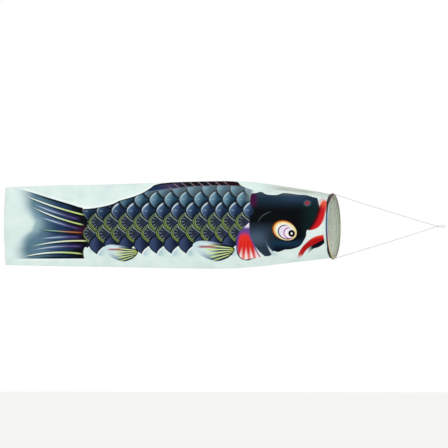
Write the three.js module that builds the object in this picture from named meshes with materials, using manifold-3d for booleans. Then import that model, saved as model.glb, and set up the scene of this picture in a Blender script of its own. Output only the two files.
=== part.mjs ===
// Carp streamer: a tapered tube of printed cloth, held open at the mouth by a hoop and flown
// from a two-legged cord bridle. Millimetres, +Z up. The fish faces +X, its right side is -Y,
// and the origin is inside the tip of the hanging loop, where the hook or pole line bears.
import * as THREE from "three";
import { mergeVertices } from "three/addons/utils/BufferGeometryUtils.js";
import Module from "manifold-3d";

// ---------- driving dimensions ----------
const clothLength = 1000; // from the hoop to the tail end, along the cloth
const hoopRadius = 94; // to the centre of the wire
const tailCut = 236; // width of the cloth laid flat at the tail end
const clothThickness = 0.8;
const wireDiameter = 2.5;
const cordDiameter = 1.8;
const threadDiameter = 0.8;
const bridleReach = 340; // from the loop's inner tip to the centre of the hoop
const mouthLean = THREE.MathUtils.degToRad(0.5); // the top of the hoop leans back
const gap = 0.3; // kept between touching pieces
const facets = 48; // round the cloth tube and the tape, which have to match

const ferruleLength = 14;
const ferruleWall = 0.55;
const ferruleAngle = THREE.MathUtils.degToRad(145); // round the hoop from the top, on the fish's left
const tapeThickness = 0.8;
const tapeLap = 2.5; // how far the tape's lips reach behind the tie holes
const tapeStitchInset = 1.2; // from the tape's sewn edge to its row of stitches
const tieSlack = 0.7; // between the tape's roll and the cord tied round it
const tieHoleClearance = 0.6; // round the cord where it goes through the tape
const knotRadius = 2.6; // of the two knots at the hoop
const apexKnot = { length: 8, radius: 2.8, place: -23 };
const loopHalfWidth = 3.2; // to the centre of the cord
const tailStitchInset = 8; // hem stitches, from the tail end
const swayShare = 0.64; // where the cloth bends in the wind, as a share of its length
const swayGap = 12; // room for the bend between the front and tail solids

// Share of the flat cut that stands as height, from the round mouth to the nearly flat tail.
const standingShare = along([
  [0, 2 / Math.PI], [0.03, 0.668], [0.06, 0.706], [0.09, 0.734], [0.16, 0.813], [0.23, 0.885],
  [0.3, 0.932], [0.4, 0.955], [0.55, 0.961], [0.7, 0.964], [0.85, 0.98], [1, 0.981],
]);
// Height of the tube's middle above the hoop's centre: the fore part lifts and the tail droops.
const middleHeight = along([[0, 0], [0.06, 2.6], [0.22, 5], [0.4, 4], [0.7, 1.8], [0.9, 1.4], [1, 0.3]]);

// ---------- sizes worked out from them ----------
const clothHalf = clothThickness / 2;
const wireRadius = wireDiameter / 2;
const cordRadius = cordDiameter / 2;
const threadRadius = threadDiameter / 2;
const tieHoleRadius = cordRadius + tieHoleClearance;
const ferruleRadius = wireRadius + gap + ferruleWall;
const facetSag = hoopRadius * (1 - Math.cos(Math.PI / facets)); // of the tape's chords
const channelRadius = ferruleRadius + gap + facetSag; // inside of the tape round the wire
const rollRadius = channelRadius + tapeThickness;
const slotHalf = clothHalf + gap; // the cloth's edge lies between the tape's two lips
const lipOuter = slotHalf + tapeThickness;
const tieFront = rollRadius + tieSlack + cordRadius;
const tieHolePlace = -tieFront;
const knotPlace = tieFront + cordRadius + gap + knotRadius; // ahead of the hoop: the swing axis
const clothStart = -tieHolePlace + tieHoleRadius + 2 * gap; // behind the hoop
const tapeDepth = -tieHolePlace + tieHoleRadius + tapeLap; // from the hoop to the tape's sewn edge
const mouthX = -bridleReach;

// ---------- helpers ----------
// A smooth curve through [place, value] pairs, as a function of place.
function along(keys) {
  const slope = keys.map((_, i) => {
    const [a, b] = [keys[Math.max(i - 1, 0)], keys[Math.min(i + 1, keys.length - 1)]];
    return (b[1] - a[1]) / (b[0] - a[0]);
  });
  return (place) => {
    let i = keys.findIndex((k) => k[0] >= place);
    i = i < 0 ? keys.length - 1 : Math.max(i, 1);
    const [[x0, y0], [x1, y1]] = [keys[i - 1], keys[i]];
    const span = x1 - x0;
    const t = THREE.MathUtils.clamp((place - x0) / span, 0, 1);
    const [t2, t3] = [t * t, t * t * t];
    return (2 * t3 - 3 * t2 + 1) * y0 + (t3 - 2 * t2 + t) * span * slope[i - 1]
      + (3 * t2 - 2 * t3) * y1 + (t3 - t2) * span * slope[i];
  };
}

// Moves every vertex of a geometry by a function of its place.
function reshape(geometry, place) {
  const position = geometry.getAttribute("position");
  for (let i = 0; i < position.count; i++) {
    const moved = place(position.getX(i), position.getY(i), position.getZ(i));
    position.setXYZ(i, moved.x, moved.y, moved.z);
  }
  return geometry;
}

function circleShape(radius, sides, hole = 0) {
  const shape = new THREE.Shape();
  for (let i = 0; i < sides; i++) {
    const a = (2 * Math.PI * i) / sides;
    shape[i ? "lineTo" : "moveTo"](radius * Math.cos(a), radius * Math.sin(a));
  }
  if (hole) {
    const inner = new THREE.Path();
    for (let i = sides; i > 0; i--) {
      const a = (2 * Math.PI * i) / sides;
      inner[i < sides ? "lineTo" : "moveTo"](hole * Math.cos(a), hole * Math.sin(a));
    }
    shape.holes.push(inner);
  }
  return shape;
}

function tube(curve, radius, sides, steps, hole = 0) {
  const options = { steps, bevelEnabled: false, extrudePath: curve };
  return new THREE.ExtrudeGeometry(circleShape(radius, sides, hole), options);
}

const wasm = await Module();
wasm.setup();

function solid(geometry) {
  const bare = geometry.clone();
  for (const name of Object.keys(bare.attributes)) if (name !== "position") bare.deleteAttribute(name);
  const merged = mergeVertices(bare, 1e-4);
  const vertProperties = merged.attributes.position.array;
  const triVerts = new Uint32Array(merged.index.array);
  return new wasm.Manifold(new wasm.Mesh({ numProp: 3, vertProperties, triVerts }));
}

function geometryOf(manifold) {
  const mesh = manifold.getMesh();
  const geometry = new THREE.BufferGeometry();
  geometry.setAttribute("position", new THREE.BufferAttribute(new Float32Array(mesh.vertProperties), 3));
  geometry.setIndex(new THREE.BufferAttribute(new Uint32Array(mesh.triVerts), 1));
  return geometry;
}

// ---------- the cloth tube's shape ----------
const smooth = (t) => THREE.MathUtils.smoothstep(t, 0, 1);

// One side of a section: angle -90 deg at the belly seam, 90 deg at the back seam.
function sidePoint(height, depth, sharpness, angle) {
  return [depth * Math.pow(Math.max(Math.cos(angle), 0), sharpness), (height / 2) * Math.sin(angle)];
}

function sideLength(height, depth, sharpness) {
  const pieces = 90;
  let total = 0;
  let last = sidePoint(height, depth, sharpness, -Math.PI / 2);
  for (let i = 1; i <= pieces; i++) {
    const next = sidePoint(height, depth, sharpness, Math.PI * (i / pieces - 0.5));
    total += Math.hypot(next[0] - last[0], next[1] - last[1]);
    last = next;
  }
  return total;
}

// The section at a share of the length: its depth is what uses up the flat cut.
function section(share) {
  const cut = THREE.MathUtils.lerp(Math.PI * hoopRadius, tailCut, share);
  const height = cut * standingShare(share);
  const sharpness = 1 + 0.8 * smooth(share / 0.4);
  let [low, high] = [0, cut];
  for (let i = 0; i < 40; i++) {
    const middle = (low + high) / 2;
    if (sideLength(height, middle, sharpness) < cut) low = middle;
    else high = middle;
  }
  return { height, depth: low, sharpness, middle: middleHeight(share) };
}

// A point of the cloth on side -1 (right) or 1 (left), off its middle surface by "out" and
// never nearer the seams' plane than "clear".
function clothPoint(side, share, angle, out, clear = gap / 2) {
  const s = section(share);
  const [y, z] = sidePoint(s.height, s.depth, s.sharpness, angle);
  const step = 1e-3;
  const a = THREE.MathUtils.clamp(angle, step - Math.PI / 2, Math.PI / 2 - step);
  const before = sidePoint(s.height, s.depth, s.sharpness, a - step);
  const after = sidePoint(s.height, s.depth, s.sharpness, a + step);
  const run = Math.hypot(after[0] - before[0], after[1] - before[1]);
  const normal = [(after[1] - before[1]) / run, -(after[0] - before[0]) / run];
  const away = Math.max(y + out * normal[0], clear);
  const up = z + out * normal[1];
  const lean = -Math.tan(mouthLean) * up * (1 - smooth(share / 0.5));
  return new THREE.Vector3(mouthX - share * clothLength + lean, side * away, up + s.middle);
}

// Carries a point of a straight tube round the hoop's axis, X ahead, onto the cloth's shape.
function onCloth(x, y, z) {
  const side = y < -1e-6 ? -1 : 1;
  const share = Math.max(-x, 0) / clothLength;
  const out = Math.hypot(y, z) - hoopRadius;
  const point = clothPoint(side, share, Math.atan2(z, Math.abs(y)), out, 0);
  return point.setX(point.x + Math.max(x, 0));
}

// ---------- the pieces ----------
const cloth = new THREE.MeshStandardMaterial({ color: 0xe2f1ec, roughness: 0.75, metalness: 0 });
const tape = new THREE.MeshStandardMaterial({ color: 0x1b2030, roughness: 0.7, metalness: 0 });
const steel = new THREE.MeshStandardMaterial({ color: 0x9aa0a6, roughness: 0.35, metalness: 1 });
const cord = new THREE.MeshStandardMaterial({ color: 0xe8e8e4, roughness: 0.8, metalness: 0 });
const thread = new THREE.MeshStandardMaterial({ color: 0xd5dcda, roughness: 0.8, metalness: 0 });

const streamer = new THREE.Group();
const mouth = new THREE.Group(); // leans with the hoop; X ahead, the hoop in its YZ plane
mouth.position.x = mouthX;
mouth.rotation.y = -mouthLean;
streamer.add(mouth);

function add(name, geometry, material, parent = streamer) {
  const mesh = new THREE.Mesh(geometry, material);
  mesh.name = name;
  parent.add(mesh);
  return mesh;
}

// Half of the cloth tube: one shell from share "from" to share "to", finer towards "from".
function clothPanel(side, from, to, stations) {
  const finer = 1.25;
  return reshape(new THREE.BoxGeometry(1, 1, 1, stations, facets / 2, 1), (x, y, z) => {
    const share = THREE.MathUtils.lerp(from, to, Math.pow(0.5 - x, finer));
    return clothPoint(side, share, -side * y * Math.PI, z * clothThickness);
  });
}

const bendShare = swayGap / 2 / clothLength;
const frontShares = [clothStart / clothLength, swayShare - bendShare];
const tailShares = [swayShare + bendShare, 1];
for (const [side, sideName] of [[-1, "right"], [1, "left"]]) {
  add(`${sideName}_front_panel`, clothPanel(side, ...frontShares, 17), cloth);
  add(`${sideName}_tail_panel`, clothPanel(side, ...tailShares, 6), cloth);
}

// Rows of stitches: along the back and belly seams, and across each tail hem.
function seamThread(up, from, to, steps) {
  const clear = clothHalf + gap + threadRadius;
  const points = [];
  for (let i = 0; i <= steps; i++) {
    const point = clothPoint(1, THREE.MathUtils.lerp(from, to, i / steps), (up * Math.PI) / 2, 0);
    points.push(point.setY(0).add(new THREE.Vector3(0, 0, up * clear)));
  }
  return tube(new THREE.CatmullRomCurve3(points), threadRadius, 6, steps);
}

function hemThread(side) {
  const clear = clothHalf + gap + threadRadius;
  const points = [];
  for (let degrees = -84; degrees <= 84; degrees += 12) {
    const share = 1 - tailStitchInset / clothLength;
    points.push(clothPoint(side, share, THREE.MathUtils.degToRad(degrees), clear));
  }
  return tube(new THREE.CatmullRomCurve3(points), threadRadius, 6, 24);
}

const seamStart = (tapeDepth + gap) / clothLength;
for (const [up, seamName] of [[1, "back"], [-1, "belly"]]) {
  add(`${seamName}_seam_thread_front`, seamThread(up, seamStart, frontShares[1], 30), thread);
  add(`${seamName}_seam_thread_tail`, seamThread(up, tailShares[0], 1, 14), thread);
}
add("right_hem_thread", hemThread(-1), thread);
add("left_hem_thread", hemThread(1), thread);

// The hoop: one wire bent round, its ends meeting inside a crimped ferrule.
class HoopArc extends THREE.Curve {
  constructor(from, to) {
    super();
    Object.assign(this, { from, to });
  }

  getPoint(t, target = new THREE.Vector3()) {
    const a = THREE.MathUtils.lerp(this.from, this.to, t);
    return target.set(0, hoopRadius * Math.sin(a), hoopRadius * Math.cos(a));
  }
}
const endHalf = gap / hoopRadius;
const wireArc = new HoopArc(ferruleAngle + endHalf, ferruleAngle + 2 * Math.PI - endHalf);
const ferruleHalf = ferruleLength / 2 / hoopRadius;
const ferruleArc = new HoopArc(ferruleAngle - ferruleHalf, ferruleAngle + ferruleHalf);
add("mouth_hoop", tube(wireArc, wireRadius, 8, 72), steel, mouth);
add("hoop_ferrule", tube(ferruleArc, ferruleRadius, 12, 6, wireRadius + gap), steel, mouth);

// The binding tape: folded round the wire, its lips sewn over the cloth's front edge.
function tapeProfile() {
  const roll = new THREE.Path();
  const outerTurn = Math.asin(lipOuter / rollRadius);
  const innerTurn = Math.asin(slotHalf / channelRadius);
  roll.moveTo(-tapeDepth, lipOuter);
  roll.absarc(0, 0, rollRadius, Math.PI - outerTurn, outerTurn - Math.PI, true);
  roll.lineTo(-tapeDepth, -lipOuter);
  roll.lineTo(-tapeDepth, -slotHalf);
  roll.absarc(0, 0, channelRadius, innerTurn - Math.PI, Math.PI - innerTurn, false);
  roll.lineTo(-tapeDepth, slotHalf);
  roll.closePath();
  return roll.getPoints(6).map((p) => new THREE.Vector2(hoopRadius + p.y, p.x));
}

function bindingTape() {
  const ring = new THREE.LatheGeometry(tapeProfile(), facets);
  ring.rotateZ(-Math.PI / 2);
  let body = solid(reshape(ring, onCloth));
  for (const up of [1, -1]) {
    const wire = mouth.localToWorld(new THREE.Vector3(0, 0, up * hoopRadius));
    const lip = onCloth(tieHolePlace, 0, up * hoopRadius);
    const hole = new THREE.CylinderGeometry(tieHoleRadius, tieHoleRadius, 6 * lipOuter, 14);
    hole.rotateX(Math.PI / 2);
    hole.translate(tieHolePlace, 0, 0);
    hole.rotateY(Math.atan2(lip.z - wire.z, wire.x - lip.x)); // square to the tape's lips
    hole.translate(wire.x, 0, wire.z);
    body = body.subtract(solid(hole));
  }
  return geometryOf(body);
}
mouth.updateMatrixWorld(true);
add("mouth_binding", bindingTape(), tape);

const stitchRadius = hoopRadius + lipOuter + gap + threadRadius;
const stitchRing = new THREE.TorusGeometry(stitchRadius, threadRadius, 6, facets);
stitchRing.rotateY(Math.PI / 2);
stitchRing.translate(tapeStitchInset - tapeDepth, 0, 0);
add("binding_thread", reshape(stitchRing, onCloth), thread);

// The bridle: tied through the tape at the top and bottom of the hoop, and knotted into a loop.
const knotAt = (up) => mouth.localToWorld(new THREE.Vector3(knotPlace, 0, up * hoopRadius));
for (const [up, place] of [[1, "upper"], [-1, "lower"]]) {
  const ring = new THREE.TorusGeometry(tieFront, cordRadius, 8, 22);
  ring.rotateX(Math.PI / 2);
  ring.translate(0, 0, up * hoopRadius);
  add(`${place}_tie_loop`, ring, cord, mouth);

  const knot = new THREE.SphereGeometry(knotRadius, 14, 10);
  add(`${place}_tie_knot`, knot, cord).position.copy(knotAt(up));

  const apex = new THREE.Vector3(apexKnot.place, 0, 0);
  const run = apex.clone().sub(knotAt(up)).normalize();
  const start = knotAt(up).addScaledVector(run, knotRadius + gap);
  const end = apex.clone().addScaledVector(run, -(apexKnot.length / 2 + gap));
  const sag = 1.2; // of a cord pulled nearly straight
  const points = [];
  for (let i = 0; i <= 20; i++) {
    const t = i / 20;
    points.push(start.clone().lerp(end, t).add(new THREE.Vector3(0, 0, -4 * sag * t * (1 - t))));
  }
  add(`${place}_bridle_line`, tube(new THREE.CatmullRomCurve3(points), cordRadius, 8, 60), cord);
}

const apex = new THREE.SphereGeometry(1, 14, 10).scale(apexKnot.length / 2, apexKnot.radius, apexKnot.radius);
add("apex_knot", apex, cord).position.x = apexKnot.place;

function hangingLoop() {
  const neck = apexKnot.place + apexKnot.length / 2 + gap;
  const half = [
    [neck, cordRadius + gap], [neck * 0.7, loopHalfWidth * 0.72], [neck * 0.36, loopHalfWidth],
    [neck * 0.1, loopHalfWidth * 0.74],
  ];
  const bends = [...half, [cordRadius, 0], ...half.slice().reverse().map(([x, z]) => [x, -z])];
  const points = bends.map(([x, z]) => new THREE.Vector3(x, 0, z));
  return tube(new THREE.CatmullRomCurve3(points), cordRadius, 8, 36);
}
add("hanging_loop", hangingLoop(), cord);

export default streamer;
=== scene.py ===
import math

import bmesh
import bpy
import numpy as np
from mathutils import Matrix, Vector


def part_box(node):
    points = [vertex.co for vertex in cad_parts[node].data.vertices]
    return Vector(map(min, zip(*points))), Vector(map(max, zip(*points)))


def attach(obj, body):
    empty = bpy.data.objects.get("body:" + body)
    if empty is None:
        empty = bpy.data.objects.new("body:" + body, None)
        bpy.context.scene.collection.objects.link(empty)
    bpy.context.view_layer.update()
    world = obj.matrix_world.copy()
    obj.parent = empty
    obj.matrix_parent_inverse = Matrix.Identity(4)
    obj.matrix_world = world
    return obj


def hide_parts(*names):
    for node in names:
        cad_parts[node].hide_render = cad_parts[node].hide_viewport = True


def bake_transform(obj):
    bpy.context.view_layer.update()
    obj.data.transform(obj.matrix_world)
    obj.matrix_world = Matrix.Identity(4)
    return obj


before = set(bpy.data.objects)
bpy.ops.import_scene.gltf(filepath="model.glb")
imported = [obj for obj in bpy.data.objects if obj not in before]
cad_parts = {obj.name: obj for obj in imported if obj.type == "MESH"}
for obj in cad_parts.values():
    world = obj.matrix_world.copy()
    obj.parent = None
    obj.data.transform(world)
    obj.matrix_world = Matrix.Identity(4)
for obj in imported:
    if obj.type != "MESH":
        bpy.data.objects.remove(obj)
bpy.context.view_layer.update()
bpy.context.scene.view_settings.view_transform = "Standard"

MM = 0.001

# ---------- sizes, as the frame has them ----------
CLOTH_LENGTH = 1.0
TAIL_CUT = 0.236
MOUTH_LEAN = math.radians(0.5)
CLOTH_THICKNESS = 0.25 * MM
WIRE_RADIUS = 1.25 * MM
CORD_RADIUS = 0.9 * MM
TAPE_DEPTH = 9.2 * MM
ROLL_RADIUS = 3.4 * MM
TAPE_THICKNESS = 0.5 * MM


def middle_of(node):
    low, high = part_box(node)
    return (low + high) / 2


hoop_low, hoop_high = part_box("mouth_hoop")
HOOP_RADIUS = (hoop_high.y - hoop_low.y) / 2 - WIRE_RADIUS
MOUTH_X = (hoop_low.x + hoop_high.x) / 2
MOUTH_CUT = math.pi * HOOP_RADIUS
CLOTH_START = 0.0035  # the share of the length that the hem hides
TAIL_HEM_SHARE = 0.993  # where the tail's hem is stitched


# ---------- camera ----------
def add_camera():
    """A long lens, level with the streamer and a little ahead of its side."""
    turn = math.radians(12)
    distance = 60
    target = Vector((-0.6723, 0, 0.0069))
    data = bpy.data.cameras.new("camera")
    data.lens = 1617
    data.clip_end = 300
    camera = bpy.data.objects.new("camera", data)
    bpy.context.scene.collection.objects.link(camera)
    camera.location = target + distance * Vector((math.sin(turn), -math.cos(turn), 0))
    camera.rotation_euler = (math.pi / 2, 0, turn)
    bpy.context.scene.camera = camera


# ---------- shader expressions ----------
def ink(code):
    """A socket's colour from its sRGB hex code."""
    parts = [int(code[i:i + 2], 16) / 255 for i in (0, 2, 4)]
    linear = [p / 12.92 if p < 0.04045 else ((p + 0.055) / 1.055) ** 2.4 for p in parts]
    return (*linear, 1)


class Value:
    """A number socket that takes part in Python expressions."""

    def __init__(self, recipe, socket):
        self.recipe = recipe
        self.socket = socket

    def __add__(self, other):
        return self.recipe.math("ADD", self, other)

    def __sub__(self, other):
        return self.recipe.math("SUBTRACT", self, other)

    def __rsub__(self, other):
        return self.recipe.math("SUBTRACT", other, self)

    def __mul__(self, other):
        return self.recipe.math("MULTIPLY", self, other)

    def __truediv__(self, other):
        return self.recipe.math("DIVIDE", self, other)

    def __abs__(self):
        return self.recipe.math("ABSOLUTE", self)

    def __rtruediv__(self, other):
        return self.recipe.math("DIVIDE", other, self)

    __radd__ = __add__
    __rmul__ = __mul__


class Recipe:
    """One material and the nodes that mix it."""

    def __init__(self, name):
        self.material = bpy.data.materials.new(name)
        self.material.use_nodes = True
        self.tree = self.material.node_tree
        self.surface = self.tree.nodes["Principled BSDF"]

    def node(self, kind, settings=None, inputs=None):
        made = self.tree.nodes.new(kind)
        for name, value in (settings or {}).items():
            setattr(made, name, value)
        for name, value in (inputs or {}).items():
            self.put(made.inputs[name], value)
        return made

    def put(self, socket, value):
        if isinstance(value, Value):
            value = value.socket
        if isinstance(value, bpy.types.NodeSocket):
            self.tree.links.new(value, socket)
        elif isinstance(value, str):
            socket.default_value = ink(value)
        else:
            socket.default_value = value

    def math(self, operation, *numbers):
        made = self.node("ShaderNodeMath", {"operation": operation}, dict(enumerate(numbers)))
        return Value(self, made.outputs[0])

    def set(self, **values):
        for name, value in values.items():
            self.put(self.surface.inputs[name.replace("_", " ").title()], value)

    def object_place(self):
        return self.node("ShaderNodeTexCoord").outputs["Object"]

    def flat_place(self, layer):
        """Where a point lies on the piece's own UV map."""
        return self.node("ShaderNodeUVMap", {"uv_map": layer}).outputs[0]

    def split(self, vector):
        parts = self.node("ShaderNodeSeparateXYZ", None, {0: vector}).outputs
        return [Value(self, part) for part in parts]

    def away(self, across, up):
        """How far from nothing a point is, by Pythagoras."""
        return self.math("SQRT", across * across + up * up)

    def ramp(self, value, low, high, kind="SMOOTHSTEP"):
        """0 up to low and 1 from high on, or the other way round if high is the smaller."""
        inputs = {"Value": value, "From Min": low, "From Max": high}
        made = self.node("ShaderNodeMapRange", {"interpolation_type": kind}, inputs)
        return Value(self, made.outputs[0])

    def over(self, value, edge, soft=0.8):
        """1 where value lies over the edge."""
        return self.ramp(value - edge, -soft, soft)

    def line(self, value, width, soft=0.8):
        """1 where value is within half a width of nothing."""
        return self.ramp(abs(value), width / 2 + soft, max(width / 2 - soft, 0))

    def curve(self, value, points):
        """A smooth curve through a few given points."""
        starts, ends = zip(*points)
        low, high = min(ends), max(ends)
        span = (high - low) or 1
        place = self.ramp(value, starts[0], starts[-1], "LINEAR")
        made = self.node("ShaderNodeFloatCurve", None, {"Value": place})
        line = made.mapping.curves[0].points
        for i, (start, end) in enumerate(points):
            at = ((start - starts[0]) / (starts[-1] - starts[0]), (end - low) / span)
            if i in (0, len(points) - 1):
                line[0 if i == 0 else len(line) - 1].location = at
            else:
                line.new(*at)
        made.mapping.update()
        return Value(self, made.outputs[0]) * span + low

    def mix_number(self, under, top, mask):
        return mask * (top - under) + under

    def mix(self, under, top, mask, blend="MIX"):
        """The colour "top" laid over "under" where the mask is 1."""
        settings = {"data_type": "RGBA", "clamp_factor": True, "blend_type": blend}
        made = self.node("ShaderNodeMix", settings)
        self.put(made.inputs[0], mask)
        self.put(made.inputs[6], under)
        self.put(made.inputs[7], top)
        return made.outputs[2]

    def coats(self, tone, *coats):
        """Colours laid over a tone one after another, each with its mask."""
        for colour, mask in coats:
            tone = self.mix(tone, colour, mask)
        return tone

    def stretched(self, place, by):
        made = self.node("ShaderNodeVectorMath", {"operation": "MULTIPLY"}, {0: place, 1: by})
        return made.outputs[0]

    def cloud(self, place, scale, detail=2.0):
        inputs = {"Vector": place, "Scale": scale, "Detail": detail}
        made = self.node("ShaderNodeTexNoise", None, inputs)
        return Value(self, made.outputs[0])

    def bump(self, height, distance, strength=1.0):
        made = self.node("ShaderNodeBump", None, {"Strength": strength, "Distance": distance})
        self.put(made.inputs["Height"], height)
        return made.outputs[0]


# ---------- the print ----------
# It is drawn on the flat cloth in millimetres: x towards the mouth, from 2 mm in from the tail
# end, and y up, from 1.5 mm below the middle of the side.
MINT = "e0f0ec"
WHITE = "fbfefd"
BLACK = "05070c"
LIME = "c8dd84"
PURPLE = "694690"
RED = "ea3226"

BACK_LINE = [
    (250, 52), (280, 55), (329, 66), (350, 76), (392, 89), (418, 100), (442, 115),
    (459, 127), (483, 132), (704, 138), (717, 127), (735, 118), (764, 110),
]
SCALE_STEP = 45.6
ROW_STEP = 34
FIRST_SCALE = (441, 80)
SCALE_BOW = 0.0275  # how fast a scale's free edge curves away, per millimetre


class Print:
    """The painted fish on one length of the cloth."""

    def __init__(self, name):
        self.r = Recipe(name)
        self.uv = self.r.flat_place("cloth")
        along, up, _ = self.r.split(self.uv)
        self.x = along * 1000 - 2
        self.y = up * 1000 + 1.5
        self.colour = MINT

    def paint(self, colour, mask):
        self.colour = self.r.mix(self.colour, colour, mask)

    def stroke(self, colours, start, end, bend, width, strength=1.0):
        """A brushed line that swells from a thin start, and turns colour on its way."""
        r = self.r
        rise = end[1] - start[1]
        t = (self.x - start[0]) / (end[0] - start[0])
        middle = (t * (-4 * bend) + (rise + 4 * bend)) * t + start[1]
        off = abs(self.y - middle) / r.ramp(t, -0.35, 0.5)
        mask = r.ramp(off, width / 2 + 0.9, width / 2 - 0.7)
        mask = mask * r.ramp(t, -0.05, 0.2) * r.ramp(t, 1.02, 0.9) * strength
        self.paint(r.mix(*colours, r.ramp(t, 0.3, 0.8)), mask)

    # ----- tail -----
    def tail_fin(self):
        r, x, y = self.r, self.x, self.y
        top = r.curve(x, [(20, 118), (57, 109), (133, 86), (208, 64), (231, 57), (262, 53)])
        rear = r.curve(y, [
            (-100, 18), (-78, 16), (-56, 26), (-39, 37), (-23, 57), (-7, 79), (8, 84), (26, 72),
            (44, 56), (67, 40), (95, 30), (118, 18),
        ])
        front = r.curve(y, [
            (-100, 243), (-83, 240), (-65, 244), (-50, 256), (-40, 250), (-22, 243), (-5, 250),
            (12, 256), (28, 248), (45, 240), (60, 238),
        ])
        halo = r.line(y - top - 3, 4, 4) + r.line(y + 102, 3, 3) * r.ramp(x, 250, 244)
        self.paint(WHITE, halo * r.ramp(x, 15, 90) * r.ramp(x, 262, 258) * 0.7)
        depth = x - rear
        inside = r.over(top, y) * r.over(y, -98.0) * r.over(front, x, 1.2)
        inside = inside * r.ramp(depth / (abs(y) * 0.62 + 9), -0.12, 1.0)
        tone = r.coats(
            "a3bfc8",
            ("5b7c8e", r.ramp(depth, 0, 56)),
            ("22385a", r.ramp(x, 96, 172)),
            ("080b14", r.ramp(x, 165, 232)),
        )
        self.paint(tone, inside)
        edge = r.line(top - y - 3, 6, 2) + r.line(y + 95, 6, 2)
        self.paint(BLACK, edge * inside * r.ramp(x, 60, 140) * 0.9)
        self.rays()
        glow = r.ramp(abs(y + 13), 20, 4) * r.ramp(x, 205, 240) * inside
        self.paint("4a1a38", glow * 0.45)

    def rays(self):
        """Fin rays: soft indigo hollows, thin lavender rays, and bright ones over their shadows."""
        hollow = ("4a628c", "2e2350")
        lavender = ("c3d6e0", "5c5490")
        for start, end, bend in (
            ((86, 68), (226, 21), -3), ((105, 29), (228, -8), -1), ((112, -37), (228, -32), 2),
            ((83, -72), (231, -61), 5),
        ):
            self.stroke(hollow, start, (end[0] + 10, end[1]), bend, 12, 0.8)
            self.stroke(lavender, start, end, bend, 3.4, 0.85)
        lime = ("eef8ee", LIME)
        for start, end, bend, width, colours in (
            ((50, 97), (248, 33), -5, 4.2, lime),
            ((82, 59), (244, 4), -6, 3.8, lime),
            ((100, -9), (241, -19), -1, 3.2, ("8ab39c", "c2703c")),
            ((82, -60), (256, -44), 6, 4.0, ("dfeee4", "dde2ac")),
            ((50, -93), (239, -84), 9, 4.2, lime),
        ):
            self.stroke(("16283a", BLACK), start, (end[0], end[1] - 5), bend, 10, 0.7)
            self.stroke(colours, start, end, bend, width)

    # ----- scales -----
    def one_set(self, placed, first_x, first_y):
        """The topmost scale of one set of rows: where its free edge is furthest back, and its row."""
        r = self.r
        rows = (self.y - first_y) / (2 * ROW_STEP)
        row = r.math("ROUND", rows) * (2 * ROW_STEP) + first_y
        height = self.y - row
        place = (placed - first_x - height * height * SCALE_BOW) / SCALE_STEP
        edge = r.math("FLOOR", place) * SCALE_STEP + first_x
        within = r.math("LESS_THAN", abs(height), 31)
        return edge * within, row

    def from_edge(self, ahead, height):
        """How far ahead of a scale's free edge, square to it."""
        slope = height * (2 * SCALE_BOW)
        steep = self.r.math("INVERSE_SQRT", slope * slope + 1)
        return (ahead - height * height * SCALE_BOW) * steep

    def scales(self):
        r, x, y = self.r, self.x, self.y
        placed = x + r.ramp(x, 625, 712) * 5.5  # the last few are drawn a little closer together
        first_x, first_y = FIRST_SCALE
        edge_a, row_a = self.one_set(placed, first_x, first_y)
        edge_b, row_b = self.one_set(placed, first_x + SCALE_STEP / 2, first_y + ROW_STEP)
        second = r.math("GREATER_THAN", edge_b, edge_a)
        edge = edge_a + (edge_b - edge_a) * second
        row = row_a + (row_b - row_a) * second
        height = y - row
        ahead = placed - edge
        own = self.from_edge(ahead, height)
        cover = 0 - self.from_edge(ahead - SCALE_STEP / 2, abs(height) - ROW_STEP)
        olive_rows = r.over(31.0, row) * r.over(row, -38.0)

        low_right = ahead - height * 0.35
        blue = r.mix("8aabb9", "5d8298", r.ramp(low_right, 2, 16))
        blue = r.mix(blue, "27475c", r.ramp(low_right, 12, 32))
        slate = r.mix("6984a0", "3f587c", r.ramp(low_right, 2, 15))
        slate = r.mix(slate, "1b2a46", r.ramp(low_right, 12, 30))
        tone = r.mix(slate, blue, r.ramp(row, 55, 70))
        tone = r.mix(tone, "1b2d42", r.ramp(x, 440, 280) * 0.5)
        crescent = r.ramp(own - r.ramp(height, -10, 22) * 6, 4.2, 1.8)
        tone = r.mix(tone, "cfe0e8", crescent * r.mix_number(0.85, 0.5, r.ramp(row, 55, 70)))
        tick = r.line(height + 1, 2.4, 1.4) * r.line(ahead - 15, 7, 3)
        tone = r.mix(tone, "b4cede", tick * 0.45)
        tone = r.mix(tone, "0d1c2c", r.ramp(cover, 10, 2) * 0.85)

        tone = r.mix(tone, self.olive_scale(ahead, height, own, cover), olive_rows)
        navy = r.mix("36456a", "131d32", r.ramp(ahead, 10, 38))
        tone = r.mix(tone, navy, r.over(-38.0, row))
        pale = r.mix("b4d0da", MINT, r.ramp(ahead, 6, 34))
        pale = r.mix(pale, WHITE, r.ramp(own, 7, 1) * 0.7)
        tone = r.mix(tone, pale, r.over(-71.0, row))

        dark = r.math("MAXIMUM", r.ramp(own, 4.0, 1.8), r.ramp(cover, 4.2, 1.2))
        outline = dark * r.over(row, -71.0) * (1 - olive_rows * 0.8)
        tone = r.coats(
            tone,
            ("071320", outline * 0.95),
            ("7f939c", r.ramp(row, 100, 116) * 0.35),
            ("93a3a8", r.ramp(x, 726, 766) * r.ramp(y, 62, 84) * 0.8),
        )

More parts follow.
